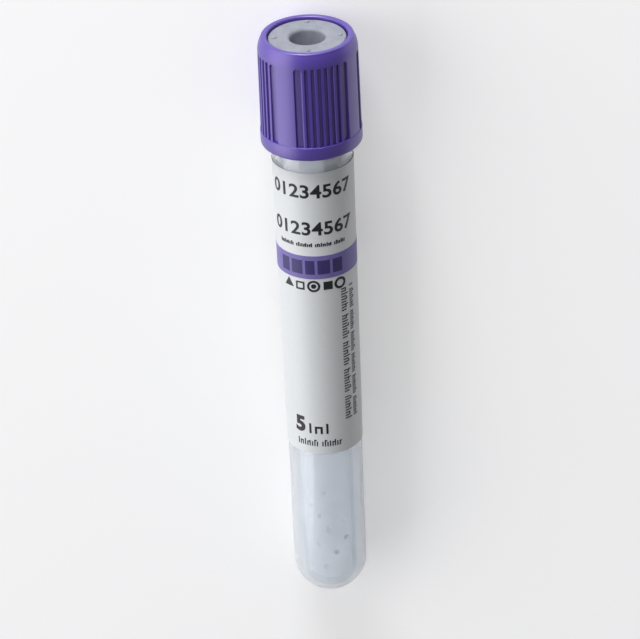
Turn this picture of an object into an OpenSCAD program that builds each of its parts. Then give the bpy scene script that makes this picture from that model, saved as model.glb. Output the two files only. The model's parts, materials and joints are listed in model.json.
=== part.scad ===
// Blood collection tube: a clear moulded tube, a rubber stopper held in a ribbed
// safety cap, and a wrapped label. It is drawn upright, as it is filled and racked:
// +Z runs along its axis to the cap, the origin is the lowest point of the rounded
// end, and turns are counted from +X. On a bench it lies on its side, on the cap's
// foot ring and on the rounded end.

/* [Tube] */
// Height of the rim above the rounded end
tube_len = 100; // [92:0.5:108]
// Outer diameter of the straight neck at the rim
neck_d = 13; // [12.6:0.05:13.2]
// Outer diameter of the straight barrel above the rounded end
barrel_d = 12.2; // [11.6:0.05:12.5]
// Wall thickness
tube_wall = 1.1; // [0.8:0.05:1.25]
// Length of the straight barrel
barrel_len = 18; // [12:0.5:22]
// Length of the straight neck
neck_len = 12; // [10:0.5:14]
// Radius on the edges of the rim
rim_round = 0.3; // [0.1:0.05:0.35]

/* [Stopper] */
// Diameter of the flange that the cap holds
flange_d = 14.2; // [13.9:0.05:14.3]
// Thickness of the flange
flange_t = 1.8; // [1.4:0.1:2.4]
// Height of the exposed face above the flange
face_h = 1.2; // [0.8:0.05:1.25]
// Gap between the exposed face and the cap's mouth
face_gap = 0.2; // [0.1:0.05:0.4]
// Radius on the edge of the exposed face
face_round = 0.3; // [0.1:0.05:0.4]
// Length of the plug inside the tube
plug_len = 8; // [6.5:0.1:9]
// Height of the plug's tapered lead-in
lead_h = 1; // [0.5:0.1:1.5]
// How far the lead-in narrows
lead_in = 0.5; // [0.2:0.1:0.8]
// Number of seal rings on the plug
seal_count = 2; // [1:1:2]
// Clearance between the plug's seal rings and the tube's bore
seal_gap = 0.05; // [0.02:0.01:0.1]
// Height of a seal ring's crest
seal_h = 1.2; // [0.8:0.1:1.4]
// How far the plug's core lies behind the seal rings
seal_depth = 0.25; // [0.1:0.05:0.4]
// Diameter of the needle well
well_d = 5.6; // [4.6:0.1:6.2]
// Length of the needle well's straight wall
well_len = 3.5; // [2.5:0.1:4]
// Radius on the needle well's mouth
well_round = 0.55; // [0.2:0.05:0.7]
// Diameter of the hollow under the plug
hollow_d = 6.4; // [4:0.1:7]
// Depth of the hollow under the plug
hollow_depth = 3; // [1.5:0.1:3.5]
// Number of pips on the exposed face
pip_count = 4; // [3:1:8]
// Diameter of a pip
pip_d = 0.9; // [0.6:0.05:1.2]
// Height of a pip
pip_h = 0.3; // [0.15:0.05:0.35]
// Diameter of the ring of pips
pip_ring_d = 10.4; // [9:0.1:10.8]
// Turn of the first pip
pip_turn = 54; // [0:0.5:90]

/* [Cap] */
// Height of the cap
cap_h = 18.4; // [16:0.1:20]
// Thickness of the lip over the flange
lip_t = 1.6; // [1.3:0.05:2]
// Diameter of the mouth in the lip
mouth_d = 12.8; // [12:0.1:13.2]
// Outer diameter of the top ring
top_d = 14.8; // [14.4:0.05:15.2]
// Radius on the edges of the top ring
top_round = 0.3; // [0.1:0.05:0.4]
// Height of the smooth shoulder
shoulder_h = 2.4; // [1.8:0.1:3]
// Diameter over the ridges at the shoulder
ridge_top_d = 15.9; // [15.6:0.05:16.1]
// Diameter over the ridges at the foot ring
ridge_low_d = 16.1; // [15.8:0.05:16.2]
// Height of the smooth foot ring
foot_h = 2.35; // [1.5:0.05:3]
// Diameter of the foot ring
foot_d = 16.3; // [16.2:0.05:16.8]
// Radius on the foot ring's lower edge
foot_round = 0.4; // [0.2:0.05:0.5]
// Radius on the foot ring's upper edge
ledge_round = 0.08; // [0.02:0.01:0.1]
// Number of smooth grip panels
panel_count = 4; // [3:1:5]
// Width of a grip panel, in degrees
panel_deg = 24; // [16:1:30]
// Width of the groove beside a panel, in degrees
side_deg = 8.5; // [6:0.5:10]
// Number of fine ridges between two panels
ridge_count = 7; // [3:1:8]
// Turn of the first panel
panel_turn = -20.5; // [-45:0.5:45]
// Diameter across the floors of the grooves
groove_d = 15.3; // [15.1:0.05:15.5]
// Clearance between the skirt and the tube's neck
skirt_gap = 0.3; // [0.2:0.05:0.35]
// Clearance between the retaining bead and the tube's neck
bead_gap = 0.12; // [0.08:0.01:0.18]
// Height of the retaining bead
bead_h = 0.8; // [0.5:0.1:1.2]
// Clearance around the stopper's flange
flange_gap = 0.05; // [0.02:0.01:0.1]

/* [Label] */
// Height of the label
label_h = 52.4; // [40:0.1:56]
// Bare tube between the cap and the label
label_drop = 2.9; // [1:0.1:5]
// Part of the way round that the label covers, in degrees
label_deg = 275; // [240:1:290]
// Turn of the label's middle
label_turn = 33.5; // [0:0.5:90]
// Thickness of the label
label_t = 0.1; // [0.06:0.01:0.15]
// Thickness of the glue under the label
glue_t = 0.02; // [0.01:0.01:0.05]
// Radius of the label's corners
corner_r = 1.5; // [0.8:0.1:2.5]
// Thickness of the print
ink_t = 0.03; // [0.02:0.01:0.05]
// Distance from the label's top to the coloured band
band_drop = 15; // [12:0.1:18]
// Height of the coloured band
band_h = 4.2; // [3:0.1:6]
// Width of a fill mark
mark_w = 1.7; // [1:0.1:2.5]
// Height of a fill mark
mark_h = 1.3; // [0.8:0.1:2]
// Distance from the label's side edge to the fill marks
mark_inset = 0.3; // [0.1:0.1:1.5]
// Distance between two fill marks, for one millilitre
mark_pitch = 12; // [9:0.5:14]
// Number of fill marks
mark_count = 3; // [2:1:3]

/* [Additive] */
// Number of dried drops on the wall
drop_count = 28; // [8:1:40]
// Widest drop
drop_d = 0.9; // [0.5:0.05:1.1]
// Height of a drop
drop_h = 0.16; // [0.1:0.02:0.24]
// Height of the lowest drop above the rounded end
drop_low = 7; // [6.5:0.1:8]
// Height of the wall that carries the drops
drop_reach = 9; // [6:0.5:12]
// Turn from one drop to the next, in degrees
drop_turn = 137.5; // [130:0.5:145]

/* [Hidden] */
$fn = 96;

barrel_r = barrel_d / 2;
neck_r = neck_d / 2;
bore_r = neck_r - tube_wall;
cone_low = barrel_r + barrel_len;
cone_top = tube_len - neck_len;

flange_top = tube_len + flange_t;
face_top = flange_top + face_h;
mouth_r = mouth_d / 2;
face_r = mouth_r - face_gap;
flange_r = flange_d / 2;
well_r = well_d / 2;
well_floor = face_top - well_round - well_len;
plug_low = tube_len - plug_len;
seal_r = bore_r - seal_gap;
core_r = seal_r - seal_depth;
seal_pitch = (plug_len - lead_h) / seal_count;

cap_top = flange_top + lip_t;
cap_low = cap_top - cap_h;
foot_r = foot_d / 2;
skirt_r = neck_r + skirt_gap;
groove_low = cap_low + foot_h;
groove_top = cap_top - shoulder_h;
panel_pitch = 360 / panel_count;
// Width of one fine ridge or groove, in degrees
fine_deg = (panel_pitch - panel_deg - 2 * side_deg) / (2 * ridge_count - 1);

label_top = cap_low - label_drop;
label_low = label_top - label_h;
ink_r = glue_t + label_t;
band_top = label_top - band_drop;

// Length of a cutter that passes through whatever it cuts
through = 3;

// Outer radius of the tube's wall at a height
function wall_r(z) =
    lookup(z, [[0, barrel_r], [cone_low, barrel_r], [cone_top, neck_r], [tube_len, neck_r]]);

// Heights at which a layer on the wall between two heights has its corners
function bends(low, high) =
    concat(low, [for (z = [cone_low, cone_top]) if (z > low && z < high) z], high);

// Points of an arc, from one angle to another
function arc(x, y, r, from, to, steps = 6) =
    [for (i = [0 : steps]) let (a = from + (to - from) * i / steps) [x + r * cos(a), y + r * sin(a)]];

// Angle that a width takes up at a radius
function across(width, r) = 2 * asin(width / 2 / r);

// Half section from the rounded end up the wall; the rim's points close it
module vessel_section(end_r, top_r, rim) {
    intersection() {
        translate([0, barrel_r])
            circle(end_r);
        square([end_r, barrel_r]);
    }
    polygon(concat([[0, barrel_r], [end_r, barrel_r], [end_r, cone_low], [top_r, cone_top]], rim));
}

module tube() {
    rim_z = tube_len - rim_round;
    outer_rim = arc(neck_r - rim_round, rim_z, rim_round, 0, 90);
    inner_rim = arc(bore_r + rim_round, rim_z, rim_round, 180, 90);
    open_z = tube_len + through;
    color([0.82, 0.89, 0.91, 0.4])
        rotate_extrude()
            difference() {
                vessel_section(barrel_r, neck_r, concat(outer_rim, [[0, tube_len]]));
                vessel_section(barrel_r - tube_wall, bore_r,
                    concat(inner_rim, [[bore_r + rim_round, open_z], [0, open_z]]));
            }
}

// Corners of the seal ring that lies a given way up the plug
function seal_ring(z) = [
    [core_r, z - seal_h / 2 - seal_depth],
    [seal_r, z - seal_h / 2],
    [seal_r, z + seal_h / 2],
    [core_r, z + seal_h / 2 + seal_depth]
];

function plug_side() = concat(
    [[core_r - lead_in, plug_low], [core_r, plug_low + lead_h]],
    [for (i = [0 : seal_count - 1], p = seal_ring(plug_low + lead_h + seal_pitch * (i + 0.5))) p],
    [[core_r, tube_len]]
);

function hollow_roof(steps = 8) =
    [for (i = [0 : steps]) let (a = 90 * i / steps)
        [hollow_d / 2 * sin(a), plug_low + hollow_depth * cos(a)]];

function stopper_section() = concat(
    hollow_roof(),
    plug_side(),
    [[flange_r, tube_len], [flange_r, flange_top], [face_r, flange_top]],
    arc(face_r - face_round, face_top - face_round, face_round, 0, 90),
    arc(well_r + well_round, face_top - well_round, well_round, 90, 180),
    [[well_r, well_floor], [0, well_floor]]
);

module stopper() {
    pip_r = (pow(pip_d / 2, 2) + pow(pip_h, 2)) / 2 / pip_h;
    color([0.56, 0.6, 0.6]) {
        rotate_extrude()
            polygon(stopper_section());
        for (i = [0 : pip_count - 1])
            rotate([0, 0, pip_turn + i * 360 / pip_count])
                translate([pip_ring_d / 2, 0, face_top + pip_h - pip_r])
                    sphere(pip_r);
    }
}

// Outside of the cap from its mouth to the foot, with a shoulder tangent to the ridges
function cap_outside() =
    let (
        rise = shoulder_h - top_round,
        run = (ridge_top_d - top_d) / 2,
        bow = (run * run + rise * rise) / 2 / run
    )
    concat(
        arc(mouth_r + top_round, cap_top - top_round, top_round, 180, 90),
        arc(top_d / 2 - top_round, cap_top - top_round, top_round, 90, 0),
        arc(ridge_top_d / 2 - bow, groove_top, bow, asin(rise / bow), 0),
        [[ridge_low_d / 2, groove_low]],
        arc(foot_r - ledge_round, groove_low - ledge_round, ledge_round, 90, 0),
        arc(foot_r - foot_round, cap_low + foot_round, foot_round, 0, -90)
    );

// Inside of the cap from the foot to the lip, with the bead that holds the flange
function cap_inside() =
    let (bead_r = neck_r + bead_gap, slope = skirt_r - bead_r)
    [
        [skirt_r + slope, cap_low],
        [skirt_r, cap_low + slope],
        [skirt_r, tube_len - bead_h - 2 * slope],
        [bead_r, tube_len - bead_h],
        [bead_r, tube_len],
        [flange_r + flange_gap, tube_len],
        [flange_r + flange_gap, flange_top],
        [mouth_r, flange_top]
    ];

// Groove with a flat floor, a square foot and a round head
module groove(turn, deg) {
    width = ridge_top_d * sin(deg / 2);
    length = groove_top - groove_low - width / 2;
    rotate([0, 0, turn])
        translate([groove_d / 2, 0, groove_low]) {
            translate([0, -width / 2, 0])
                cube([through, width, length]);
            translate([0, 0, length])
                rotate([0, 90, 0])
                    cylinder(h = through, d = width);
        }
}

// Grooves from the middle of one grip panel to the middle of the next
module grip() {
    side = (panel_deg + side_deg) / 2;
    first = panel_deg / 2 + side_deg + 1.5 * fine_deg;
    groove(side, side_deg);
    for (i = [0 : ridge_count - 2])
        groove(first + 2 * i * fine_deg, fine_deg);
    groove(panel_pitch - side, side_deg);
}

module cap() {
    color([0.36, 0.25, 0.66])
        difference() {
            rotate_extrude()
                polygon(concat(cap_outside(), cap_inside()));
            for (i = [0 : panel_count - 1])
                rotate([0, 0, panel_turn + i * panel_pitch])
                    grip();
        }
}

// Layer that follows the tube's wall between two heights, over part of the way round
module wrap(low, high, inner, outer, deg, turn) {
    heights = bends(low, high);
    last = len(heights) - 1;
    rotate([0, 0, turn - deg / 2])
        rotate_extrude(angle = deg)
            polygon(concat(
                [for (z = heights) [wall_r(z) + outer, z]],
                [for (i = [last : -1 : 0]) [wall_r(heights[i]) + inner, heights[i]]]
            ));
}

// What a rounded corner takes off the label: side and end are 1 or -1
module corner_cut(side, end) {
    z = end > 0 ? label_top - corner_r : label_low + corner_r;
    turn = label_deg / 2 - asin(corner_r / (wall_r(z) + ink_r));
    rotate([0, 0, label_turn + side * turn])
        translate([bore_r - tube_wall, 0, z])
            difference() {
                translate([0, side > 0 ? 0 : -through, end > 0 ? 0 : -through])
                    cube(through);
                rotate([0, 90, 0])
                    cylinder(h = through, r = corner_r);
            }
}

module label() {
    color([0.94, 0.95, 0.95])
        difference() {
            wrap(label_low, label_top, glue_t, ink_r, label_deg, label_turn);
            for (side = [-1, 1], end = [-1, 1])
                corner_cut(side, end);
        }
}

module label_band() {
    color([0.45, 0.36, 0.72])
        wrap(band_top - band_h, band_top, ink_r, ink_r + ink_t, label_deg, label_turn);
}

// The first mark lies on the band and the others on the bare label
module fill_marks() {
    edge = label_turn - label_deg / 2;
    color([0.1, 0.1, 0.12])
        for (i = [0 : mark_count - 1]) {
            top = band_top - mark_inset - i * mark_pitch;
            under = i == 0 ? ink_r + ink_t : ink_r;
            deg = across(mark_w, wall_r(top) + under);
            inset = across(mark_inset, wall_r(top) + under);
            wrap(top - mark_h, top, under, under + ink_t, deg, edge + inset + deg / 2);
        }
}

// Dried drop with its flat side down
module drop(d, high) {
    r = (pow(d / 2, 2) + pow(high, 2)) / 2 / high;
    rotate_extrude($fn = 24)
        polygon(concat([[0, 0]], arc(0, high - r, r, asin(1 - high / r), 90, 4)));
}

// Dried drops on the inside of the straight barrel, spread by a constant turn
module additive() {
    wall = barrel_r - tube_wall;
    spread = 0.2;
    color([0.93, 0.95, 0.95])
        for (i = [0 : drop_count - 1]) {
            d = drop_d * (1 - spread * (1 - sin(i * 2 * drop_turn)));
            rotate([0, 0, i * drop_turn])
                translate([sqrt(wall * wall - d * d / 4), 0, drop_low + drop_reach * i / (drop_count - 1)])
                    rotate([0, -90, 0])
                        drop(d, drop_h);
        }
}

tube();
stopper();
cap();
label();
label_band();
fill_marks();
additive();
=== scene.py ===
"""Looks of a blood collection tube: clear wall, ribbed cap, rubber stopper, label and dried additive."""

import json
import math

import bmesh
import bpy
from bpy.props import FloatProperty, FloatVectorProperty, IntProperty, PointerProperty, StringProperty
from mathutils import Matrix, Vector


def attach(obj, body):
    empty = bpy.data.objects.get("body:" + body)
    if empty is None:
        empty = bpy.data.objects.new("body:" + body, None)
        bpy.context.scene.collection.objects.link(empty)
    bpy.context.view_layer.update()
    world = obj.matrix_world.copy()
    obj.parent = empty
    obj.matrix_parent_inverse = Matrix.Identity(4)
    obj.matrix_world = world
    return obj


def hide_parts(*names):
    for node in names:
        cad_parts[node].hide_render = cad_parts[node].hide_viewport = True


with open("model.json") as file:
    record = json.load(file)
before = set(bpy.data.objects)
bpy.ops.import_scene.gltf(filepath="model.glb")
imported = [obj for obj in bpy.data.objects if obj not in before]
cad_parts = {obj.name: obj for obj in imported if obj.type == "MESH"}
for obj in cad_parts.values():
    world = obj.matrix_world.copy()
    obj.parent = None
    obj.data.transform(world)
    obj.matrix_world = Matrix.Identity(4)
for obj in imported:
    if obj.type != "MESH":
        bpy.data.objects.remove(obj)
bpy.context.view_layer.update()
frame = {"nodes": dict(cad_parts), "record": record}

bl_info = {
    "name": "Blood Collection Tube",
    "version": (1, 0, 0),
    "blender": (4, 5, 0),
    "location": "3D View > Sidebar > Tube",
    "description": "Builds a blood collection tube with its cap, stopper, label and additive",
    "category": "Object",
}

MM = 0.001
MERGE = 1e-6  # distance within which two points are one
WHITE = (1, 1, 1, 1)
LABEL_TURN = math.radians(24.5)  # from the front, where the camera stands, to the label's middle


def around(points):
    """Middle and half width of the part of the way round Z that some points take up."""
    turns = sorted(math.atan2(p.y, p.x) for p in points)
    gap, start = max((b - a, a) for a, b in zip(turns, turns[1:] + [turns[0] + 2 * math.pi]))
    middle = start + gap / 2 + math.pi
    return math.atan2(math.sin(middle), math.cos(middle)), math.pi - gap / 2


def upright_frame():
    """Place of the tube's own frame: Z runs from its rounded end to its cap, and X to the print's front."""
    port = next(m for m in frame["record"]["mounts"] if m["name"] == "needle_port")
    along = Vector(port["axis"]).normalized()
    above = (Vector((0, 0, 1)) - along * along.z).normalized()
    start = min(v.co.dot(along) for v in frame["nodes"]["tube"].data.vertices)
    point = Vector(port["pos_m"])
    place = Matrix((above, along.cross(above), along)).transposed().to_4x4()
    place.translation = point + along * (start - point.dot(along))
    upright = place.inverted()
    middle, _ = around([upright @ v.co for v in frame["nodes"]["label"].data.vertices])
    return place @ Matrix.Rotation(middle - LABEL_TURN, 4, "Z")


PLACE = upright_frame()
UPRIGHT = PLACE.inverted()


class Reach:
    """Heights, radii and turns that a CAD node takes up in the tube's own frame."""

    def __init__(self, node):
        points = [UPRIGHT @ v.co for v in frame["nodes"][node].data.vertices]
        self.low = round(min(p.z for p in points), 6)
        self.high = round(max(p.z for p in points), 6)
        self.outer = round(max(p.xy.length for p in points), 6)
        self.turn, self.half = around(points)


TUBE = Reach("tube")
STOPPER = Reach("stopper")
CAP = Reach("cap")
LABEL = Reach("label")
BAND = Reach("label_band")


def level(name, description, default, **kind):
    """Property for a number that isn't below 0."""
    return FloatProperty(name=name, description=description, default=default, min=0, **kind)


def length(name, description, default):
    """Property for a size in metres."""
    return level(name, description, default, precision=5, unit="LENGTH", subtype="DISTANCE")


def share(name, description, default):
    """Property for a number from 0 to 1."""
    return level(name, description, default, max=1, subtype="FACTOR")


def turn(name, description, degrees):
    """Property for an angle, stated in degrees and kept in radians."""
    angle = math.radians(degrees)
    return FloatProperty(name=name, description=description, default=angle, unit="ROTATION", subtype="ANGLE")


def count(name, description, default):
    """Property for a whole number."""
    return IntProperty(name=name, description=description, default=default, min=1)


def linear(channel):
    """Linear light of one sRGB channel from 0 to 255."""
    c = channel / 255
    return c / 12.92 if c <= 0.04045 else ((c + 0.055) / 1.055) ** 2.4


def colour(name, description, *srgb):
    """Property for a colour, stated as sRGB from 0 to 255 and kept linear."""
    light = [linear(c) for c in srgb]
    return FloatVectorProperty(
        name=name, description=description, default=light, min=0, max=1, subtype="COLOR"
    )


class TubeSettings(bpy.types.PropertyGroup):
    """Sizes and finish of the clear wall."""

    height: length("Height", "Height of the rim above the rounded end", TUBE.high)
    neck_radius: length("Neck radius", "Outer radius of the straight neck", TUBE.outer)
    barrel_radius: length("Barrel radius", "Outer radius of the straight barrel", 6.1 * MM)
    wall: length("Wall", "Thickness of the wall", 1.1 * MM)
    barrel_length: length("Barrel length", "Length of the straight barrel", 18 * MM)
    neck_length: length("Neck length", "Length of the straight neck", 12 * MM)
    rim_round: length("Rim rounding", "Radius on the edges of the rim", 0.3 * MM)
    columns: count("Columns", "Faces round the wall", 192)
    tint: colour("Tint", "Tint of the clear plastic", 246, 250, 255)
    roughness: share("Roughness", "Roughness of the moulded wall", 0.1)


class StopperSettings(bpy.types.PropertyGroup):
    """Sizes and finish of the rubber stopper."""

    plug_low: length("Plug's end", "Height of the plug's lower end", STOPPER.low)
    flange_radius: length("Flange radius", "Radius of the flange in the cap", STOPPER.outer)
    flange_height: length("Flange height", "Thickness of the flange", 1.8 * MM)
    face_height: length("Face height", "Height of the exposed face above the flange", 1.2 * MM)
    face_radius: length("Face radius", "Radius of the exposed face", 6.2 * MM)
    face_round: length("Face rounding", "Radius on the edge of the exposed face", 0.3 * MM)
    core_radius: length("Core radius", "Radius of the plug between its seal rings", 5.1 * MM)
    seals: count("Seal rings", "Number of seal rings round the plug", 2)
    seal_depth: length("Seal depth", "Height of the seal rings over the core", 0.25 * MM)
    seal_height: length("Seal height", "Height of a seal ring's crest", 1.2 * MM)
    lead: length("Lead-in", "Height of the plug's tapered end", 1 * MM)
    lead_in: length("Lead-in depth", "How far the plug's end narrows", 0.5 * MM)
    lead_round: length("Lead-in rounding", "Radius where the tapered end meets the core", 0.4 * MM)
    well_radius: length("Well radius", "Radius of the needle well", 2.8 * MM)
    well_length: length("Well length", "Length of the needle well's straight wall", 3.5 * MM)
    well_round: length("Well rounding", "Radius on the needle well's mouth", 0.55 * MM)
    floor_round: length("Floor rounding", "Radius round the needle well's floor", 0.3 * MM)
    hollow_radius: length("Hollow radius", "Radius of the hollow under the plug", 3.2 * MM)
    hollow_depth: length("Hollow depth", "Depth of the hollow under the plug", 3 * MM)
    pips: count("Pips", "Number of pips on the exposed face", 4)
    pip_radius: length("Pip radius", "Radius of a pip", 0.45 * MM)
    pip_height: length("Pip height", "Height of a pip", 0.3 * MM)
    pip_ring: length("Pip ring", "Radius of the ring of pips", 5.2 * MM)
    pip_turn: turn("Pip turn", "Turn of the first pip from the front", 0)
    columns: count("Columns", "Faces round the stopper", 160)
    rubber: colour("Rubber", "Colour of the rubber", 146, 149, 160)
    roughness: share("Roughness", "Roughness of the rubber", 0.55)


class CapSettings(bpy.types.PropertyGroup):
    """Sizes and finish of the ribbed cap."""

    low: length("Foot", "Height of the cap's foot", CAP.low)
    high: length("Top", "Height of the cap's top", CAP.high)
    foot_radius: length("Foot radius", "Radius of the smooth foot ring", CAP.outer)
    foot_height: length("Foot height", "Height of the smooth foot ring", 2.35 * MM)
    foot_round: length("Foot rounding", "Radius on the foot ring's lower edge", 0.4 * MM)
    ledge_round: length("Ledge rounding", "Radius on the foot ring's upper edge", 0.08 * MM)
    lip: length("Lip", "Thickness of the lip over the flange", 1.6 * MM)
    mouth_radius: length("Mouth radius", "Radius of the mouth in the lip", 6.4 * MM)
    top_radius: length("Top radius", "Radius of the top ring", 7.4 * MM)
    top_round: length("Top rounding", "Radius on the edges of the top ring", 0.3 * MM)
    shoulder: length("Shoulder", "Height of the smooth shoulder", 2.4 * MM)
    ridge_top: length("Ridge radius at the top", "Radius over the ridges at the shoulder", 7.95 * MM)
    ridge_low: length("Ridge radius at the foot", "Radius over the ridges at the foot ring", 8.05 * MM)
    groove_radius: length("Groove radius", "Radius of the grooves' floors", 7.65 * MM)
    flank: length("Flank", "Width of a groove's sloping side", 0.14 * MM)
    panels: count("Panels", "Number of smooth grip panels", 4)
    panel_width: turn("Panel width", "Width of a grip panel", 24)
    side_width: turn("Side groove", "Width of the groove beside a panel", 8.5)
    ridges: count("Ridges", "Number of fine ridges between two panels", 7)
    panel_turn: turn("Panel turn", "Turn of the first panel from the front", -29.5)
    skirt_radius: length("Skirt radius", "Inner radius of the skirt", 6.8 * MM)
    bead_radius: length("Bead radius", "Inner radius of the retaining bead", 6.62 * MM)
    bead_height: length("Bead height", "Height of the retaining bead", 0.8 * MM)
    flange_radius: length("Seat radius", "Radius of the seat for the stopper's flange", 7.15 * MM)
    columns: count("Columns", "Faces round the cap", 1080)
    plastic: colour("Plastic", "Colour of the moulded plastic", 70, 46, 152)
    roughness: share("Roughness", "Roughness of the moulded plastic", 0.42)


class LabelSettings(bpy.types.PropertyGroup):
    """Sizes and finish of the wrapped label."""

    low: length("Lower edge", "Height of the label's lower edge", LABEL.low)
    high: length("Upper edge", "Height of the label's upper edge", LABEL.high)
    middle: turn("Middle", "Turn of the label's middle from the front", math.degrees(LABEL.turn))
    half: turn("Half width", "Half of the turn that the label covers", math.degrees(LABEL.half))
    glue: length("Glue", "Thickness of the glue under the label", 0.02 * MM)
    paper: length("Paper", "Thickness of the paper", 0.1 * MM)
    ink: length("Ink", "Thickness of the print", 0.03 * MM)
    corner: length("Corner", "Radius of the label's corners", 1.5 * MM)
    band_low: length("Band's lower edge", "Height of the coloured band's lower edge", BAND.low)
    band_high: length("Band's upper edge", "Height of the coloured band's upper edge", BAND.high)
    blocks_turn: turn("Blocks' turn", "Turn of the first block's side from the front", -58)
    block_height: share("Block height", "Height of the blocks, as a share of the band's", 0.6)
    block_gap: length("Block gap", "Gap between two blocks", 0.45 * MM)
    step: turn("Step", "Turn between two cuts round the label", 2.5)
    white: colour("Paper", "Colour of the paper", 226, 229, 232)
    purple: colour("Band", "Colour of the coloured band", 122, 110, 180)
    deep: colour("Blocks", "Colour of the blocks on the band", 60, 50, 112)
    black: colour("Black", "Colour of the black print", 26, 27, 33)
    roughness: share("Roughness", "Roughness of the satin paper", 0.42)


class PrintSettings(bpy.types.PropertyGroup):
    """Places of the plain marks printed on the label."""

    number: StringProperty(name="Number", description="Plain number printed twice", default="01234567")
    digit_height: length("Digit height", "Height of the printed number", 2.45 * MM)
    digit_pitch: length("Digit pitch", "Distance between two digits", 1.82 * MM)
    number_turn: turn("Number's turn", "Turn of the number's middle from the front", -5.5)
    number_drop: length("Number's drop", "Distance from the label's top to the first number", 3.3 * MM)
    number_gap: length("Number's pitch", "Distance between the two numbers", 6.7 * MM)
    digit_width: share("Digit width", "Width of a digit, as a share of its height", 0.56)
    size_turn: turn("Size mark's turn", "Turn of the volume mark from the front", -39)
    size_rise: length("Size mark's rise", "Height of the volume mark over the label's foot", 5.4 * MM)
    size_height: length("Size mark", "Height of the volume mark", 3 * MM)
    size_width: length("Size mark's width", "Width of the volume mark", 1.9 * MM)
    mark_width: length("Mark width", "Width of a fill mark", 1.7 * MM)
    mark_height: length("Mark height", "Height of a fill mark", 1.3 * MM)
    mark_inset: length("Mark inset", "Distance from the label's side edge to the fill marks", 0.3 * MM)
    mark_pitch: length("Mark pitch", "Distance between two fill marks", 12 * MM)
    marks: count("Marks", "Number of fill marks", 3)
    figure_drop: length("Figure drop", "Distance from a fill mark to its figure's middle", 1.5 * MM)
    figure_height: length("Figure height", "Height of the figure under a fill mark", 1.25 * MM)
    figure_width: length("Figure width", "Width of the figure under a fill mark", 0.75 * MM)
    pen: length("Pen", "Width of a stroke of small print", 0.2 * MM)
    shape_drop: length("Shape drop", "Distance from the band to the row of plain shapes", 1.35 * MM)
    shape_radius: length("Shape radius", "Radius of a plain shape", 1.05 * MM)
    dot_radius: length("Dot radius", "Radius of the dot in a round shape", 0.42 * MM)


class AdditiveSettings(bpy.types.PropertyGroup):
    """Places and finish of the dried drops."""

    drops: count("Drops", "Number of dried drops on the wall", 28)
    width: length("Width", "Width of the widest drop", 0.9 * MM)
    height: length("Height", "Height of a drop", 0.16 * MM)
    low: length("Lowest", "Height of the lowest drop", 7 * MM)
    reach: length("Reach", "Height of the wall that carries the drops", 9 * MM)
    first: turn("First turn", "Turn of the lowest drop from the front", -9)
    step: turn("Step", "Turn from one drop to the next", 137.5)
    spread: share("Spread", "How much the drops' widths differ", 0.2)
    salt: colour("Colour", "Colour of the dried additive", 236, 239, 239)


class StageSettings(bpy.types.PropertyGroup):
    """Floor, lamps and camera."""

    floor: colour("Floor", "Colour of the floor", 236, 236, 238)
    floor_size: length("Floor size", "Width of the floor", 3)
    ambient: level("Ambient", "Level of the light from all round", 0.22)
    key_power: level("Key", "Power of the large lamp", 10, unit="POWER")
    rim_power: level("Rim", "Power of the lamp past the cap", 6.5, unit="POWER")
    floor_lift: level("Floor lift", "Light that the floor shows the camera", 0.34)
    lit: share("Lit", "Height that the lamps face, as a share of the rim's", 0.6)
    distance: length("Distance", "Distance from the camera to the cap's top", 0.612)
    aim: share("Aim", "Height that the camera faces, as a share of the cap's", 0.5)
    elevation: turn("Elevation", "Camera's angle above the square view of the tube", 25.7)
    lean: turn("Lean", "Lean of the tube in the picture", 2.6)
    field: turn("Field", "Camera's field of view", 9.4)


class Value:
    """Output of a shader node that can be reckoned with."""

    def __init__(self, shader, socket):
        self.shader, self.socket = shader, socket

    def _math(self, operation, a, b):
        return self.shader.node("ShaderNodeMath", {"operation": operation}, {0: a, 1: b})

    def __add__(self, other):
        return self._math("ADD", self, other)

    __radd__ = __add__

    def __sub__(self, other):
        return self._math("SUBTRACT", self, other)

    def __rsub__(self, other):
        return self._math("SUBTRACT", other, self)

    def __mul__(self, other):
        return self._math("MULTIPLY", self, other)

    __rmul__ = __mul__

    def between(self, low, high):
        """0 below low, 1 above high, and smooth from one to the other."""
        ends = {"Value": self, "From Min": low, "From Max": high}
        return self.shader.node("ShaderNodeMapRange", {"interpolation_type": "SMOOTHSTEP"}, ends)


class Shader:
    """Nodes of a material or of the world, written as expressions."""

    def __init__(self, owner):
        owner.use_nodes = True
        self.tree = owner.node_tree

    def feed(self, socket, value):
        """Links a value to a socket, or sets the socket to a constant."""
        if isinstance(value, Value):
            self.tree.links.new(value.socket, socket)
        else:
            socket.default_value = value

    def node(self, kind, setup, inputs, output=0):
        """Adds a node with its setup and inputs, and gives one output."""
        made = self.tree.nodes.new(kind)
        for key, value in setup.items():
            setattr(made, key, value)
        for key, value in inputs.items():
            self.feed(made.inputs[key], value)
        return Value(self, made.outputs[output])

    def seen(self, *kinds):
        """1 for rays of some kinds and 0 for the others."""
        unseen = 1
        for kind in kinds:
            unseen = unseen * (1 - self.node("ShaderNodeLightPath", {}, {}, kind))
        return 1 - unseen


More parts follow.
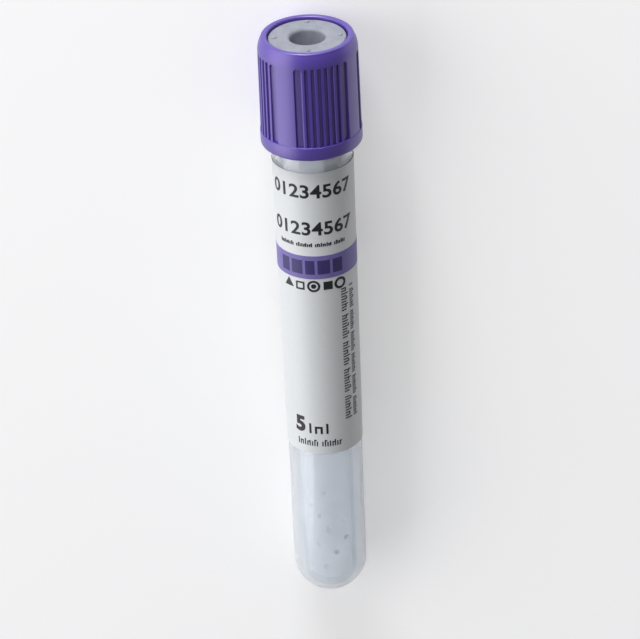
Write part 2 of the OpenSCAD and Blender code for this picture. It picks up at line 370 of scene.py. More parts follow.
class Finish(Shader):
    """Material whose pattern is worked out in the tube's own frame."""

    def __init__(self, name, **constants):
        self.material = bpy.data.materials.new(name)
        super().__init__(self.material)
        self.surface = self.tree.nodes["Principled BSDF"]
        for key, value in constants.items():
            self.set(key.replace("_", " "), value)
        point = self.node("ShaderNodeTexCoord", {}, {}, "Object")
        laid = {"Vector": point, "Location": UPRIGHT.translation, "Rotation": UPRIGHT.to_euler()}
        self.point = self.node("ShaderNodeMapping", {}, laid)

    def set(self, name, value):
        """Feeds an input of the surface."""
        self.feed(self.surface.inputs[name], value)

    def stretched(self, x, y, z):
        """The point with each axis scaled."""
        return self.node("ShaderNodeMapping", {}, {"Vector": self.point, "Scale": (x, y, z)})

    def noise(self, grain, detail=2.0, roughness=0.5, point=None):
        """Cloudy pattern with a given grain in metres."""
        grainy = {"Scale": 1 / grain, "Detail": detail, "Roughness": roughness}
        return self.node("ShaderNodeTexNoise", {}, {"Vector": point or self.point, **grainy})

    def blend(self, factor, a, b):
        """Colour from a to b. The node's colours are its inputs 6 and 7 and its output 2."""
        colours = {0: factor, 6: a if isinstance(a, Value) else (*a, 1), 7: (*b, 1)}
        return self.node("ShaderNodeMix", {"data_type": "RGBA"}, colours, output=2)

    def lay(self, colour, roughness, height, depth):
        """Gives the surface its colour, its roughness and a relief with its depth in metres."""
        self.set("Base Color", colour)
        self.set("Roughness", roughness)
        relief = {"Height": height, "Distance": depth, "Strength": 1.0}
        self.set("Normal", self.node("ShaderNodeBump", {}, relief))
        return self


def darker(rgb, factor):
    """Colour with its light scaled."""
    return [min(1.0, c * factor) for c in rgb]


def deselect():
    """Leaves nothing selected, and Object mode on."""
    if bpy.context.object and bpy.context.object.mode != "OBJECT":
        leave_edit()
    bpy.ops.object.select_all(action="DESELECT")


def choose(piece):
    """Leaves one piece selected and active."""
    deselect()
    bpy.context.view_layer.objects.active = piece
    piece.select_set(True)


def settle():
    """Moves the selected piece's place, turn and scale into its mesh."""
    bpy.ops.object.transform_apply(location=True, rotation=True, scale=True)


def edit(piece):
    """Goes into Edit mode on a piece with all of it selected."""
    choose(piece)
    bpy.ops.object.mode_set(mode="EDIT")
    bpy.ops.mesh.select_mode(type="VERT")
    bpy.ops.mesh.select_all(action="SELECT")


def leave_edit():
    """Goes back to Object mode."""
    bpy.ops.object.mode_set(mode="OBJECT")


def face_outwards():
    """Turns all faces of the edited piece outwards, and leaves Edit mode."""
    bpy.ops.mesh.select_all(action="SELECT")
    bpy.ops.mesh.normals_make_consistent(inside=False)
    leave_edit()


def pick(test):
    """Selects, in Edit mode, the vertices that pass a test of their place, and gives their places."""
    bpy.ops.mesh.select_all(action="DESELECT")
    mesh = bmesh.from_edit_mesh(bpy.context.object.data)
    chosen = [v for v in mesh.verts if test(v.co)]
    for v in chosen:
        v.select = True
    mesh.select_flush_mode()
    bmesh.update_edit_mesh(bpy.context.object.data)
    if not chosen:
        raise RuntimeError("no vertex was found where one should be")
    return [v.co.copy() for v in chosen]


def outline(corners, steps=5):
    """Points of an open outline. A corner is (radius, height) or (radius, height, rounding)."""
    points = []
    for i, corner in enumerate(corners):
        here = Vector(corner[:2])
        if len(corner) < 3 or not corner[2]:
            points.append(tuple(here))
            continue
        before = (Vector(corners[i - 1][:2]) - here).normalized()
        after = (Vector(corners[i + 1][:2]) - here).normalized()
        half = before.angle(after) / 2
        centre = here + (before + after).normalized() * corner[2] / math.sin(half)
        first = here + before * corner[2] / math.tan(half) - centre
        last = here + after * corner[2] / math.tan(half) - centre
        sweep = first.angle_signed(last)
        for k in range(steps + 1):
            points.append(tuple(centre + Matrix.Rotation(-sweep * k / steps, 2) @ first))
    return points


def bowl(radius, depth, rim, steps):
    """Points of a round end, from beside the pole to the rim. Depth is the pole's height over the rim."""
    turns = [math.pi / 2 * i / steps for i in range(1, steps + 1)]
    return [(radius * math.sin(a), rim + depth * math.cos(a)) for a in turns]


def lathe(name, points, columns, ends=None):
    """Turned solid, drawn out ring by ring. Ends are its poles' heights, or None for a closed outline."""
    deselect()
    radius, height = points[0]
    bpy.ops.mesh.primitive_circle_add(vertices=columns, radius=radius, location=(0, 0, height))
    piece = bpy.context.object
    piece.name = piece.data.name = name
    settle()
    edit(piece)
    rings = points if ends else points + points[:1]
    for (r0, z0), (r1, z1) in zip(rings, rings[1:]):
        bpy.ops.mesh.extrude_region_move(TRANSFORM_OT_translate={"value": (0, 0, z1 - z0)})
        bpy.ops.transform.resize(value=(r1 / r0, r1 / r0, 1), center_override=(0, 0, z1))
    if ends:
        close_pole(points[-1][1], ends[1])
        pick(lambda p: abs(p.z - height) < MERGE / 4 and abs(p.xy.length - radius) < MERGE / 4)
        close_pole(height, ends[0])
    else:
        bpy.ops.mesh.select_all(action="SELECT")
        bpy.ops.mesh.remove_doubles(threshold=MERGE)
    face_outwards()
    return piece


def close_pole(height, pole):
    """Draws the selected ring out to a point on the axis."""
    bpy.ops.mesh.extrude_region_move(TRANSFORM_OT_translate={"value": (0, 0, pole - height)})
    bpy.ops.mesh.merge(type="COLLAPSE")


def reshape(piece, kind, **values):
    """Applies a modifier of one kind, with its settings, to a piece."""
    modifier = piece.modifiers.new(kind, kind)
    for key, value in values.items():
        setattr(modifier, key, value)
    choose(piece)
    bpy.ops.object.modifier_apply(modifier=modifier.name)


def join(name, pieces):
    """One piece from several."""
    choose(pieces[0])
    for piece in pieces:
        piece.select_set(True)
    if len(pieces) > 1:
        bpy.ops.object.join()
    pieces[0].name = pieces[0].data.name = name
    return pieces[0]


def dress(piece, finish, body, nodes, smooth=32):
    """Lays a finished piece in its place, and says what it is."""
    choose(piece)
    piece.matrix_world = PLACE
    settle()
    bpy.ops.object.shade_smooth_by_angle(angle=math.radians(smooth))
    piece.data.materials.clear()
    piece.data.materials.append(finish.material)
    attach(piece, body)
    if nodes:
        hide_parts(*nodes)


def settings(name):
    """Settings of one piece."""
    return getattr(bpy.context.scene, "collection_tube_" + name)


def label_cone():
    """Slope of the wall under the label, and its radius at the label's middle height."""
    tube, label = settings("wall"), settings("label")
    start = tube.barrel_radius + tube.barrel_length
    stop = tube.height - tube.neck_length
    slope = (tube.neck_radius - tube.barrel_radius) / (stop - start)
    return slope, tube.barrel_radius + slope * ((label.low + label.high) / 2 - start)


class COLLECTION_TUBE_OT_wall(bpy.types.Operator):
    """Build the clear moulded tube"""

    bl_idname = "collection_tube.wall"
    bl_label = "Tube"

    def execute(self, context):
        s = settings("wall")
        barrel, bore = s.barrel_radius, s.barrel_radius - s.wall
        cone_low, cone_top = barrel + s.barrel_length, s.height - s.neck_length
        outside = bowl(barrel, -barrel, barrel, 18)
        inside = bowl(bore, -bore, barrel, 18)[::-1]
        mid = (cone_low + cone_top) / 2
        half = (barrel + s.neck_radius) / 2
        wall = outline(
            [
                (barrel, cone_low),
                (half, mid),
                (s.neck_radius, cone_top),
                (s.neck_radius, s.height, s.rim_round),
                (s.neck_radius - s.wall, s.height, s.rim_round),
                (s.neck_radius - s.wall, cone_top),
                (half - s.wall, mid),
                (bore, cone_low),
            ]
        )
        piece = lathe("tube_wall", outside + wall + inside, s.columns, ends=(0, s.wall))
        dress(piece, self.finish(s), "tube", ["tube"])
        return {"FINISHED"}

    def finish(self, s):
        """Clear moulded plastic with faint flow lines along the wall."""
        clear = Finish("clear_plastic", IOR=1.5, Transmission_Weight=0.74)
        flow = clear.noise(0.9 * MM, 2, point=clear.stretched(1, 1, 0.06))
        haze = clear.noise(4 * MM, 3).between(0.45, 0.75)
        tint = clear.blend(haze * 0.5, s.tint, darker(s.tint, 0.97))
        return clear.lay(tint, haze * 0.03 + s.roughness, flow, 0.004 * MM)


class COLLECTION_TUBE_OT_stopper(bpy.types.Operator):
    """Build the rubber stopper with its needle well, seal rings and pips"""

    bl_idname = "collection_tube.stopper"
    bl_label = "Stopper"

    def execute(self, context):
        s = settings("stopper")
        rim = settings("wall").height
        top = rim + s.flange_height
        face = top + s.face_height
        floor = face - s.well_round - s.well_length
        shaft, ring_radius = s.plug_low + s.lead, s.core_radius + s.seal_depth
        pitch, half = (rim - shaft) / s.seals, s.seal_height / 2
        edge, soft = 0.1 * MM, 0.15 * MM
        corners = bowl(s.hollow_radius, s.hollow_depth, s.plug_low, 10)
        corners += [(s.core_radius - s.lead_in, s.plug_low, soft), (s.core_radius, shaft, s.lead_round)]
        for ring in range(s.seals):
            crest = shaft + pitch * (ring + 0.5)
            corners += [
                (s.core_radius, crest - half - s.seal_depth, edge),
                (ring_radius, crest - half, soft),
                (ring_radius, crest + half, soft),
                (s.core_radius, crest + half + s.seal_depth, edge),
            ]
        corners += [
            (s.core_radius, rim, soft),
            (s.flange_radius, rim, edge),
            (s.flange_radius, top, edge),
            (s.face_radius, top, edge),
            (s.face_radius, face, s.face_round),
            (s.well_radius, face, s.well_round),
            (s.well_radius, floor, s.floor_round),
            (s.well_radius / 3, floor),
        ]
        ends = (s.plug_low + s.hollow_depth, floor)
        body = lathe("stopper_rubber", outline(corners, 6), s.columns, ends)
        piece = join("stopper_rubber", [body, *self.pips(s, face)])
        dress(piece, self.finish(s), "closure", ["stopper"])
        return {"FINISHED"}

    def pips(self, s, face):
        """Low domes on the exposed face, each with a soft foot."""
        foot, step = 0.12 * MM, 0.02 * MM
        dome = [(s.pip_radius + foot, -foot), (s.pip_radius + foot, 0), (s.pip_radius, step, step)]
        for wide, high, rounding in ((0.9, 0.62, 0.1 * MM), (0.45, 0.95, 0.12 * MM), (0.12, 1, 0)):
            dome.append((s.pip_radius * wide, s.pip_height * high, rounding))
        for i in range(s.pips):
            pip = lathe("pip", outline(dome, 3), 24, ends=(-foot, s.pip_height))
            turned = s.pip_turn + i * 2 * math.pi / s.pips
            pip.location = (s.pip_ring * math.cos(turned), s.pip_ring * math.sin(turned), face)
            settle()
            yield pip

    def finish(self, s):
        """Moulded rubber with fine dust in it."""
        rubber = Finish("grey_rubber", Specular_IOR_Level=0.4)
        cloud = rubber.noise(1.8 * MM, 4, 0.6)
        speck = rubber.noise(0.12 * MM, 2).between(0.62, 0.72)
        shade = rubber.blend(cloud.between(0.3, 0.7), darker(s.rubber, 0.9), darker(s.rubber, 1.08))
        dusty = rubber.blend(speck * 0.35, shade, darker(s.rubber, 1.5))
        grain = rubber.noise(0.16 * MM, 3) + cloud * 0.6
        return rubber.lay(dusty, cloud * 0.15 + (s.roughness - 0.07), grain, 0.02 * MM)


class COLLECTION_TUBE_OT_cap(bpy.types.Operator):
    """Build the cap with its grip panels and fine ridges"""

    bl_idname = "collection_tube.cap"
    bl_label = "Cap"

    def execute(self, context):
        s = settings("cap")
        rim = settings("wall").height
        seat = s.high - s.lip
        ledge, crown = s.low + s.foot_height, s.high - s.shoulder
        rise, run = s.shoulder - s.top_round, s.ridge_top - s.top_radius
        bow = (run * run + rise * rise) / 2 / run
        lift = math.asin(rise / bow)
        top = outline(
            [
                (s.mouth_radius, seat),
                (s.mouth_radius, s.high, s.top_round),
                (s.top_radius, s.high, s.top_round),
                (s.top_radius, s.high - 2 * s.top_round),
            ],
            6,
        )[:-1]
        steps = 12
        shoulder = []
        for a in (lift * (1 - i / steps) for i in range(1, steps)):
            shoulder.append((s.ridge_top - bow + bow * math.cos(a), crown + bow * math.sin(a)))
        slope = (s.ridge_low - s.ridge_top) / (crown - ledge)
        heads, cuts = 0.75 * MM, 14  # the grooves' round heads need rows that lie close
        rows = [crown - heads * i / cuts for i in range(cuts + 1)]
        rows += [ledge + above for above in (2 * MM, 0.1 * MM, 0)]
        ribs = [(s.ridge_top + slope * (crown - z), z) for z in rows]
        slack = s.skirt_radius - s.bead_radius
        edge, tight, chamfer = 0.1 * MM, 0.05 * MM, 0.08 * MM
        foot = outline(
            [
                (s.ridge_low, ledge),
                (s.foot_radius, ledge, s.ledge_round),
                (s.foot_radius, s.low, s.foot_round),
                (s.skirt_radius + slack, s.low, chamfer),
                (s.skirt_radius, s.low + slack, edge),
                (s.skirt_radius, rim - s.bead_height - 2 * slack, edge),
                (s.bead_radius, rim - s.bead_height, edge),
                (s.bead_radius, rim, tight),
                (s.flange_radius, rim, tight),
                (s.flange_radius, seat, tight),
                (s.mouth_radius, seat),
            ],
            4,
        )[1:-1]
        piece = lathe("cap_shell", top + shoulder + ribs + foot, s.columns)
        self.groove(piece, s, ledge, crown, slope)
        dress(piece, self.finish(s), "closure", ["cap"], smooth=40)
        return {"FINISHED"}

    def groove(self, piece, s, ledge, crown, slope):
        """Sinks the grooves: round at the head, square at the foot."""
        pitch = 2 * math.pi / s.panels
        fine = (pitch - s.panel_width - 2 * s.side_width) / (2 * s.ridges - 1)
        beside = (s.panel_width + s.side_width) / 2
        grooves = [(beside, s.side_width), (pitch - beside, s.side_width)]
        first = s.panel_width / 2 + s.side_width + 1.5 * fine
        grooves += [(first + 2 * i * fine, fine) for i in range(s.ridges - 1)]
        sunk = piece.vertex_groups.new(name="grooves")
        for v in piece.data.vertices:
            x, y, z = v.co
            radius = math.hypot(x, y)
            if z < ledge - MERGE or z > crown or abs(radius - s.ridge_top - slope * (crown - z)) > MERGE:
                continue
            turned = (math.atan2(y, x) - s.panel_turn) % pitch
            depth = 0.0
            for middle, width in grooves:
                half = width / 2 * radius
                aside = abs(turned - middle) * radius
                head = z - (crown - half)
                away = math.hypot(aside, head) if head > 0 else aside
                t = min(1.0, max(0.0, (half - away) / s.flank + 0.5))
                depth = max(depth, t * t * (3 - 2 * t))
            if depth > 0:
                sunk.add([v.index], depth, "REPLACE")
        cast = {"cast_type": "CYLINDER", "use_radius_as_size": False, "size": s.groove_radius, "factor": 1}
        reshape(piece, "CAST", vertex_group=sunk.name, **cast)
        piece.vertex_groups.clear()

    def finish(self, s):
        """Moulded plastic with a fine spark-eroded grain and pale scuff streaks, with a painted highlight on
        the ridges' crests and painted shade down in the grooves.
        """
        plastic = Finish(
            "purple_plastic",
            IOR=1.7,
            Specular_IOR_Level=1.0,
            Specular_Tint=(0.8, 0.7, 1.0, 1),
            Coat_Weight=0.3,
            Coat_Roughness=0.3,
            Subsurface_Weight=0.08,
            Subsurface_Radius=(0.4, 0.3, 1.0),
            Subsurface_Scale=0.8 * MM,
        )
        cloud = plastic.noise(3.5 * MM, 3)
        grain = plastic.noise(0.14 * MM, 3, 0.6)
        scuff = plastic.noise(0.8 * MM, 4, point=plastic.stretched(1, 1, 0.12)).between(0.6, 0.78)
        flat = plastic.stretched(1, 1, 0)
        away = plastic.node("ShaderNodeVectorMath", {"operation": "LENGTH"}, {0: flat}, "Value")
        height = plastic.node("ShaderNodeSeparateXYZ", {}, {0: plastic.point}, "Z")
        crown = s.high - s.shoulder
        # painted light: the ridges' crests are made paler as a painted highlight, and the grooves' floors
        # darker as painted shade
        crest = away.between(s.groove_radius, s.ridge_top)
        sunk = (1 - crest) * (1 - height.between(crown - s.flank, crown))
        crest_highlight_groove_shade = plastic.blend(sunk, darker(s.plastic, 1.08), darker(s.plastic, 0.72))
        shade = plastic.blend(cloud.between(0.3, 0.7) * 0.1, crest_highlight_groove_shade, darker(s.plastic, 0.6))
        scuffs_and_painted_light = plastic.blend(scuff * 0.12, shade, darker(s.plastic, 1.6))
        roughness = grain * 0.12 + cloud * 0.06 + (s.roughness - 0.09)
        return plastic.lay(scuffs_and_painted_light, roughness, grain, 0.01 * MM)


def flat_panel(name, low, high, left, right):
    """Flat sheet that faces -Y, between two heights and two distances round the wall."""
    deselect()
    where = ((left + right) / 2, 0, (low + high) / 2)
    bpy.ops.mesh.primitive_plane_add(size=1, location=where, rotation=(math.pi / 2, 0, 0))
    piece = bpy.context.object
    piece.name = piece.data.name = name
    piece.scale = (right - left, high - low, 1)
    settle()
    return piece


def flat_shape(x, z, radius, sides, hole):
    """Flat plate that faces -Y with a number of sides, open in the middle by a share of its width."""
    deselect()
    fill = "NOTHING" if hole else "NGON"
    bpy.ops.mesh.primitive_circle_add(vertices=sides, radius=radius, fill_type=fill)
    piece = bpy.context.object
    edit(piece)
    if sides == 4:  # a square lies on a side, not on a corner
        bpy.ops.transform.rotate(value=math.pi / 4, orient_axis="Z", center_override=(0, 0, 0))
    if hole:
        bpy.ops.mesh.extrude_region_move()
        bpy.ops.transform.resize(value=(hole, hole, 1), center_override=(0, 0, 0))
    face_outwards()
    piece.location, piece.rotation_euler = (x, 0, z), (math.pi / 2, 0, 0)
    settle()
    return piece


def span(piece, axis):
    """Least and greatest place of a piece's points along an axis."""
    places = [v.co[axis] for v in piece.data.vertices]
    return min(places), max(places)


def wrap(piece, base, thickness, rounding=0.0):
    """Thickens a flat sheet and bends it round the wall. Base is its height over the wall."""
    label = settings("label")
    slope, radius = label_cone()
    middle = (label.low + label.high) / 2
    (left, right), (low, high) = span(piece, 0), span(piece, 2)
    edit(piece)
    if rounding:
        bpy.ops.mesh.bevel(offset=rounding, segments=8, affect="VERTICES", offset_type="OFFSET")
        bpy.ops.mesh.select_all(action="SELECT")
    bpy.ops.transform.translate(value=(0, -base, -middle))
    bpy.ops.mesh.extrude_region_move(TRANSFORM_OT_translate={"value": (0, -thickness, 0)})
    step = label.step * radius
    for i in range(math.ceil(left / step), math.floor(right / step) + 1):
        bpy.ops.mesh.select_all(action="SELECT")
        bpy.ops.mesh.bisect(plane_co=(i * step, 0, 0), plane_no=(1, 0, 0), threshold=MERGE / 2)
    face_outwards()
    reshape(piece, "SIMPLE_DEFORM", deform_method="BEND", deform_axis="Z", angle=(right - left) / radius)
    piece.location = (0, -radius, 0)
    settle()
    narrowing = slope / radius * (high - low)
    reshape(piece, "SIMPLE_DEFORM", deform_method="TAPER", deform_axis="Z", factor=narrowing)
    piece.location, piece.rotation_euler = (0, 0, middle), (0, 0, math.pi / 2)
    settle()
    return piece


class COLLECTION_TUBE_OT_label(bpy.types.Operator):
    """Build the wrapped paper label with its coloured band"""

    bl_idname = "collection_tube.label"
    bl_label = "Label"

    def execute(self, context):
        s = settings("label")
        _, radius = label_cone()
        left, right = (s.middle - s.half) * radius, (s.middle + s.half) * radius
        paper = wrap(flat_panel("label_paper", s.low, s.high, left, right), s.glue, s.paper, s.corner)
        dress(paper, self.paper(s), "tube", ["label"])
        over = s.glue + s.paper
        band = wrap(flat_panel("label_band_print", s.band_low, s.band_high, left, right), over, s.ink)
        dress(band, self.band("purple_print", s.purple), "tube", ["label_band"])
        margin = (s.band_high - s.band_low) * (1 - s.block_height) / 2
        x = s.blocks_turn * radius
        plates = []
        for wide in (1.6 * MM, 1.9 * MM, 1.5 * MM, 2 * MM, 1.7 * MM):
            plates.append(flat_panel("block", s.band_low + margin, s.band_high - margin, x, x + wide))
            x += wide + s.block_gap
        blocks = wrap(join("band_blocks", plates), over + s.ink, s.ink / 3)
        dress(blocks, self.band("deep_print", s.deep), "tube", [])
        return {"FINISHED"}

    def paper(self, s):
        """Satin coated paper with faint fibres."""
        paper = Finish("label_paper", Coat_Roughness=0.3)
        fibre = paper.noise(0.25 * MM, 4, 0.6)
        cloud = paper.noise(5 * MM, 2)
        shade = paper.blend(fibre.between(0.35, 0.65), darker(s.white, 0.975), darker(s.white, 1.02))
        clouded = paper.blend(cloud * 0.25, shade, darker(s.white, 0.95))
        paper.set("Coat Weight", cloud * 0.3)
        return paper.lay(clouded, fibre * 0.1 + (s.roughness - 0.05), fibre, 0.006 * MM)

    def band(self, name, tone):
        """Purple ink, a little uneven where it sank into the paper."""
        ink = Finish(name)
        patch = ink.noise(0.5 * MM, 4, 0.6)
        uneven = ink.blend(patch.between(0.3, 0.75), darker(tone, 0.92), darker(tone, 1.1))
        return ink.lay(uneven, patch * 0.1 + 0.4, patch, 0.004 * MM)


class COLLECTION_TUBE_OT_print(bpy.types.Operator):
    """Print the plain numbers, fill marks and bars on the label"""

    bl_idname = "collection_tube.print"
    bl_label = "Print"

    def execute(self, context):
        s, label = settings("print"), settings("label")
        _, self.radius = label_cone()
        pieces = []
        middle = s.number_turn * self.radius
        wide = s.digit_pitch * (len(s.number) - 1) + s.digit_width * s.digit_height
        for i in range(2):
            z = label.high - s.number_drop - i * s.number_gap
            pieces.append(self.figures(s.number, middle, z, wide, s.digit_height))
        volume = label.low + s.size_rise
        side = s.size_turn * self.radius
        pieces.append(self.figures("5", side, volume, s.size_width, s.size_height, weight=0.045))
        edge = (label.middle - label.half) * self.radius + s.mark_inset
        band_top = label.band_high - s.mark_inset
        for i, figure in ((1, "4"), (2, "3")):
            z = band_top - i * s.mark_pitch - s.mark_height - s.figure_drop
            pieces.append(self.figures(figure, edge + s.mark_width / 2, z, s.figure_width, s.figure_height))
        pieces.append(self.bars(s, label, edge, band_top, volume))
        flat = join("label_print", pieces)
        piece = wrap(flat, label.glue + label.paper, label.ink)
        self.raise_band_mark(piece, label)
        dress(piece, self.finish(label), "tube", ["fill_marks"])
        return {"FINISHED"}

    def at(self, degrees):
        """Distance round the flat label of a turn from the front."""
        return math.radians(degrees) * self.radius

    def figures(self, body, x, z, wide, tall, weight=0.02):
        """Plain figures in a box about a middle point."""
        deselect()
        bpy.ops.object.text_add()
        text = bpy.context.object
        text.data.body, text.data.offset, text.data.resolution_u = body, weight, 5
        text.data.space_character = 1.02
        bpy.ops.object.convert(target="MESH")
        text = bpy.context.object
        text.rotation_euler = (math.pi / 2, 0, 0)
        settle()
        (left, right), (low, high) = span(text, 0), span(text, 2)
        centre = ((left + right) / 2, 0, (low + high) / 2)
        grow = (wide / (right - left), 1, tall / (high - low))
        edit(text)
        bpy.ops.mesh.remove_doubles()
        bpy.ops.transform.resize(value=grow, center_override=centre)
        bpy.ops.transform.translate(value=(x - centre[0], 0, z - centre[2]))
        leave_edit()
        return text

    def bars(self, s, label, edge, band_top, volume):
        """Fill marks, and the plain strokes and shapes that stand for small print."""
        band = label.band_low
        boxes = []
        for i in range(s.marks):
            high = band_top - i * s.mark_pitch
            boxes.append((edge, edge + s.mark_width, high - s.mark_height, high))
        rows = (
            (-58, 46, band + 5.9 * MM, 0.7 * MM, 0.3 * MM, s.pen),
            (-44, 26, label.low + 1.5 * MM, 1.2 * MM, 0.42 * MM, s.pen),
            (-24, 8, volume - s.size_height / 2, 1.9 * MM, 0.95 * MM, 1.8 * s.pen),
        )
        for left, right, low, tall, pitch, pen in rows:
            boxes += self.strokes(self.at(left), self.at(right), low, tall, pitch, pen)
        low, high = label.low + 6 * MM, band - 2.4 * MM
        for degrees, tall, pitch in ((34, 1.35 * MM, 0.5 * MM), (50, 1 * MM, 0.4 * MM)):
            side = self.at(degrees)
            for z0, z1, x0, x1 in self.strokes(low, high, 0, tall, pitch, s.pen):
                boxes.append((side + x0, side + x1, z0, z1))
        panels = [flat_panel("stroke", low, high, left, right) for left, right, low, high in boxes]
        square, disc = 4, 24
        shapes = ((-46, 3, 0), (-27, square, 0.62), (-7, disc, 0.66), (14, square, 0), (33, disc, 0.6))
        for degrees, sides, hole in shapes:
            panels.append(flat_shape(self.at(degrees), band - s.shape_drop, s.shape_radius, sides, hole))
        panels.append(flat_shape(self.at(-7), band - s.shape_drop, s.dot_radius, disc, 0))
        return join("strokes", panels)

    def strokes(self, left, right, low, tall, pitch, pen):
        """Boxes of a row of upright strokes, in groups as words are."""
        rises = (1, 0.72, 0.72, 1, 0.72, 0.86, 0.72)
        word, space = 9, 2.2
        i, x = 0, left
        while x + pen < right:
            rise = rises[i % len(rises)] * tall
            yield x, x + pen, low, low + rise
            if i % 3 == 1:
                yield x + pen, x + pitch, low + rise - pen, low + rise
            i += 1
            x += pitch * (1 if i % word else space)

    def raise_band_mark(self, piece, label):
        """Lifts the mark that is printed over the coloured band clear of the band's ink."""
        edit(piece)
        places = pick(lambda p: label.band_low < p.z < label.band_high)
        grow = 1 + label.ink / max(p.xy.length for p in places)
        bpy.ops.transform.resize(value=(grow, grow, 1), center_override=(0, 0, 0))
        leave_edit()

    def finish(self, label):
        """Black ink, a little uneven in its colour and gloss."""
        ink = Finish("black_print")
        patch = ink.noise(0.2 * MM, 3, 0.6)
        uneven = ink.blend(patch.between(0.35, 0.8), label.black, darker(label.black, 2.2))
        return ink.lay(uneven, patch * 0.15 + 0.35, patch, 0.003 * MM)


class COLLECTION_TUBE_OT_additive(bpy.types.Operator):
    """Build the dried drops of additive on the inside of the wall"""

    bl_idname = "collection_tube.additive"
    bl_label = "Additive"

    def execute(self, context):
        s, tube = settings("additive"), settings("wall")
        bore = tube.barrel_radius - tube.wall
        dome = ((0.5, 0), (0.46, 0.45), (0.33, 0.8), (0.14, 0.97))
        inwards = Matrix.Rotation(-math.pi / 2, 4, "Y")
        drops = []
        for i in range(s.drops):
            width = s.width * (1 - s.spread * (1 - math.sin(i * 2 * s.step)))
            corners = [(width * across, s.height * up) for across, up in dome]
            drop = lathe("drop", corners, 18, ends=(0, s.height))
            sunk = math.sqrt(bore * bore - width * width / 4)
            there = Matrix.Translation((sunk, 0, s.low + s.reach * i / (s.drops - 1)))
            drop.matrix_world = Matrix.Rotation(s.first + i * s.step, 4, "Z") @ there @ inwards
            settle()
            drops.append(drop)
        piece = join("additive_drops", drops)
        dress(piece, self.finish(s), "tube", ["additive"], smooth=60)
        return {"FINISHED"}

    def finish(self, s):
        """Dried salt, cloudy and faintly glossy."""
        salt = Finish("dried_additive", Transmission_Weight=0.25, IOR=1.3)
        crust = salt.noise(0.25 * MM, 4, 0.65)
        cloudy = salt.blend(crust.between(0.3, 0.7), darker(s.salt, 0.92), s.salt)
        return salt.lay(cloudy, crust * 0.3 + 0.4, crust, 0.02 * MM)


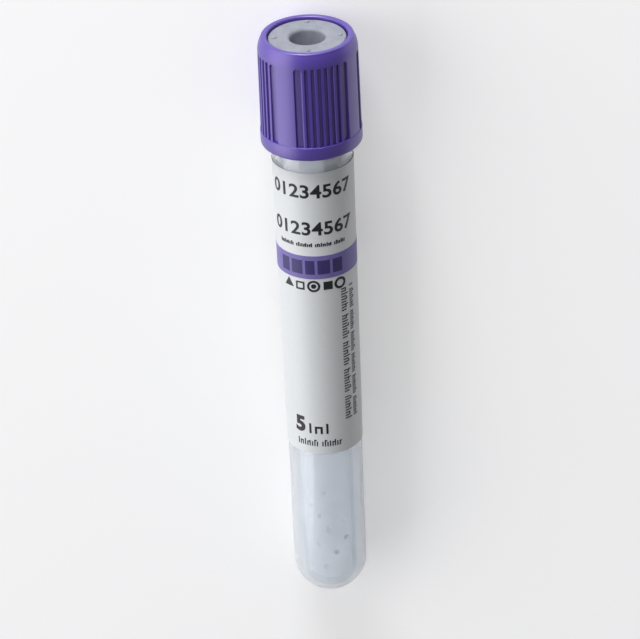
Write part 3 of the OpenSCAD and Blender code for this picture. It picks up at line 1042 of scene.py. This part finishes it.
class COLLECTION_TUBE_OT_stage(bpy.types.Operator):
    """Set up the floor, the light and the camera"""

    bl_idname = "collection_tube.stage"
    bl_label = "Stage"

    def execute(self, context):
        s = settings("stage")
        self.floor(s)
        self.light(s)
        self.camera(context, s)
        context.scene.view_settings.view_transform = "Standard"
        return {"FINISHED"}

    def floor(self, s):
        """Pale floor, wide enough for every view."""
        deselect()
        bpy.ops.mesh.primitive_plane_add(size=s.floor_size)
        floor = bpy.context.object
        floor.name = floor.data.name = "floor"
        paint = Finish("floor", Roughness=0.6, Specular_IOR_Level=0.2)
        paint.set("Base Color", (*s.floor, 1))
        paint.set("Emission Color", WHITE)
        seen = paint.seen("Is Camera Ray", "Is Glossy Ray", "Is Transmission Ray")
        paint.set("Emission Strength", seen * s.floor_lift)
        floor.data.materials.append(paint.material)

    def light(self, s):
        """A wide lamp to the picture's left, a smaller one past the cap and even light from all round."""
        middle = PLACE @ Vector((0, 0, settings("wall").height * s.lit))
        lamps = (
            ("key", s.key_power, 1.6, 1.0, (0.0, 0.97, 0.43)),
            ("rim", s.rim_power, 0.32, 0.32, (0.85, 0.12, 0.2)),
        )
        for name, power, wide, tall, offset in lamps:
            where = middle + Vector(offset)
            bpy.ops.object.light_add(type="AREA", location=where)
            lamp = bpy.context.object
            lamp.name = name
            lamp.data.energy, lamp.data.shape = power, "RECTANGLE"
            lamp.data.size, lamp.data.size_y = wide, tall
            lamp.rotation_euler = (where - middle).to_track_quat("Z", "Y").to_euler()
        world = bpy.data.worlds.new("studio")
        bpy.context.scene.world = world
        sky = Shader(world)
        background = sky.tree.nodes["Background"].inputs
        sky.feed(background["Color"], WHITE)
        seen = sky.seen("Is Camera Ray", "Is Transmission Ray")
        sky.feed(background["Strength"], seen * (1 - s.ambient) + s.ambient)

    def camera(self, context, s):
        """Looks down on the tube with the cap at the top of the picture."""
        up, front = PLACE.col[2].to_3d(), PLACE.col[0].to_3d()
        high = settings("cap").high
        cap_top = PLACE @ Vector((0, 0, high))
        eye = cap_top + s.distance * (math.sin(s.elevation) * up + math.cos(s.elevation) * front)
        aim = PLACE @ Vector((0, 0, high * s.aim))
        back = (eye - aim).normalized()
        right = up.cross(back).normalized()
        axes = Matrix((right, back.cross(right), back)).transposed()
        lean = Matrix.Rotation(-s.lean, 3, "Z")
        deselect()
        bpy.ops.object.camera_add(location=eye, rotation=(axes @ lean).to_euler())
        camera = bpy.context.object
        camera.data.angle = s.field
        camera.data.clip_start, camera.data.clip_end = 0.05, 20
        context.scene.camera = camera


PIECES = {
    "wall": (TubeSettings, COLLECTION_TUBE_OT_wall),
    "stopper": (StopperSettings, COLLECTION_TUBE_OT_stopper),
    "cap": (CapSettings, COLLECTION_TUBE_OT_cap),
    "label": (LabelSettings, COLLECTION_TUBE_OT_label),
    "print": (PrintSettings, COLLECTION_TUBE_OT_print),
    "additive": (AdditiveSettings, COLLECTION_TUBE_OT_additive),
    "stage": (StageSettings, COLLECTION_TUBE_OT_stage),
}


class COLLECTION_TUBE_PT_panel(bpy.types.Panel):
    """Lists the tube's pieces with their settings"""

    bl_idname = "COLLECTION_TUBE_PT_panel"
    bl_label = "Blood Collection Tube"
    bl_space_type = "VIEW_3D"
    bl_region_type = "UI"
    bl_category = "Tube"

    def draw(self, context):
        for name, (group, operator) in PIECES.items():
            box = self.layout.box()
            box.operator(operator.bl_idname)
            for key in group.__annotations__:
                box.prop(settings(name), key)


CLASSES = [*(cls for pair in PIECES.values() for cls in pair), COLLECTION_TUBE_PT_panel]


def register():
    for cls in CLASSES:
        bpy.utils.register_class(cls)
    for name, (group, _) in PIECES.items():
        setattr(bpy.types.Scene, "collection_tube_" + name, PointerProperty(type=group))


def unregister():
    for name in PIECES:
        delattr(bpy.types.Scene, "collection_tube_" + name)
    for cls in reversed(CLASSES):
        bpy.utils.unregister_class(cls)


def main():
    register()
    for name in PIECES:
        getattr(bpy.ops.collection_tube, name)()


if __name__ == "__main__":
    main()
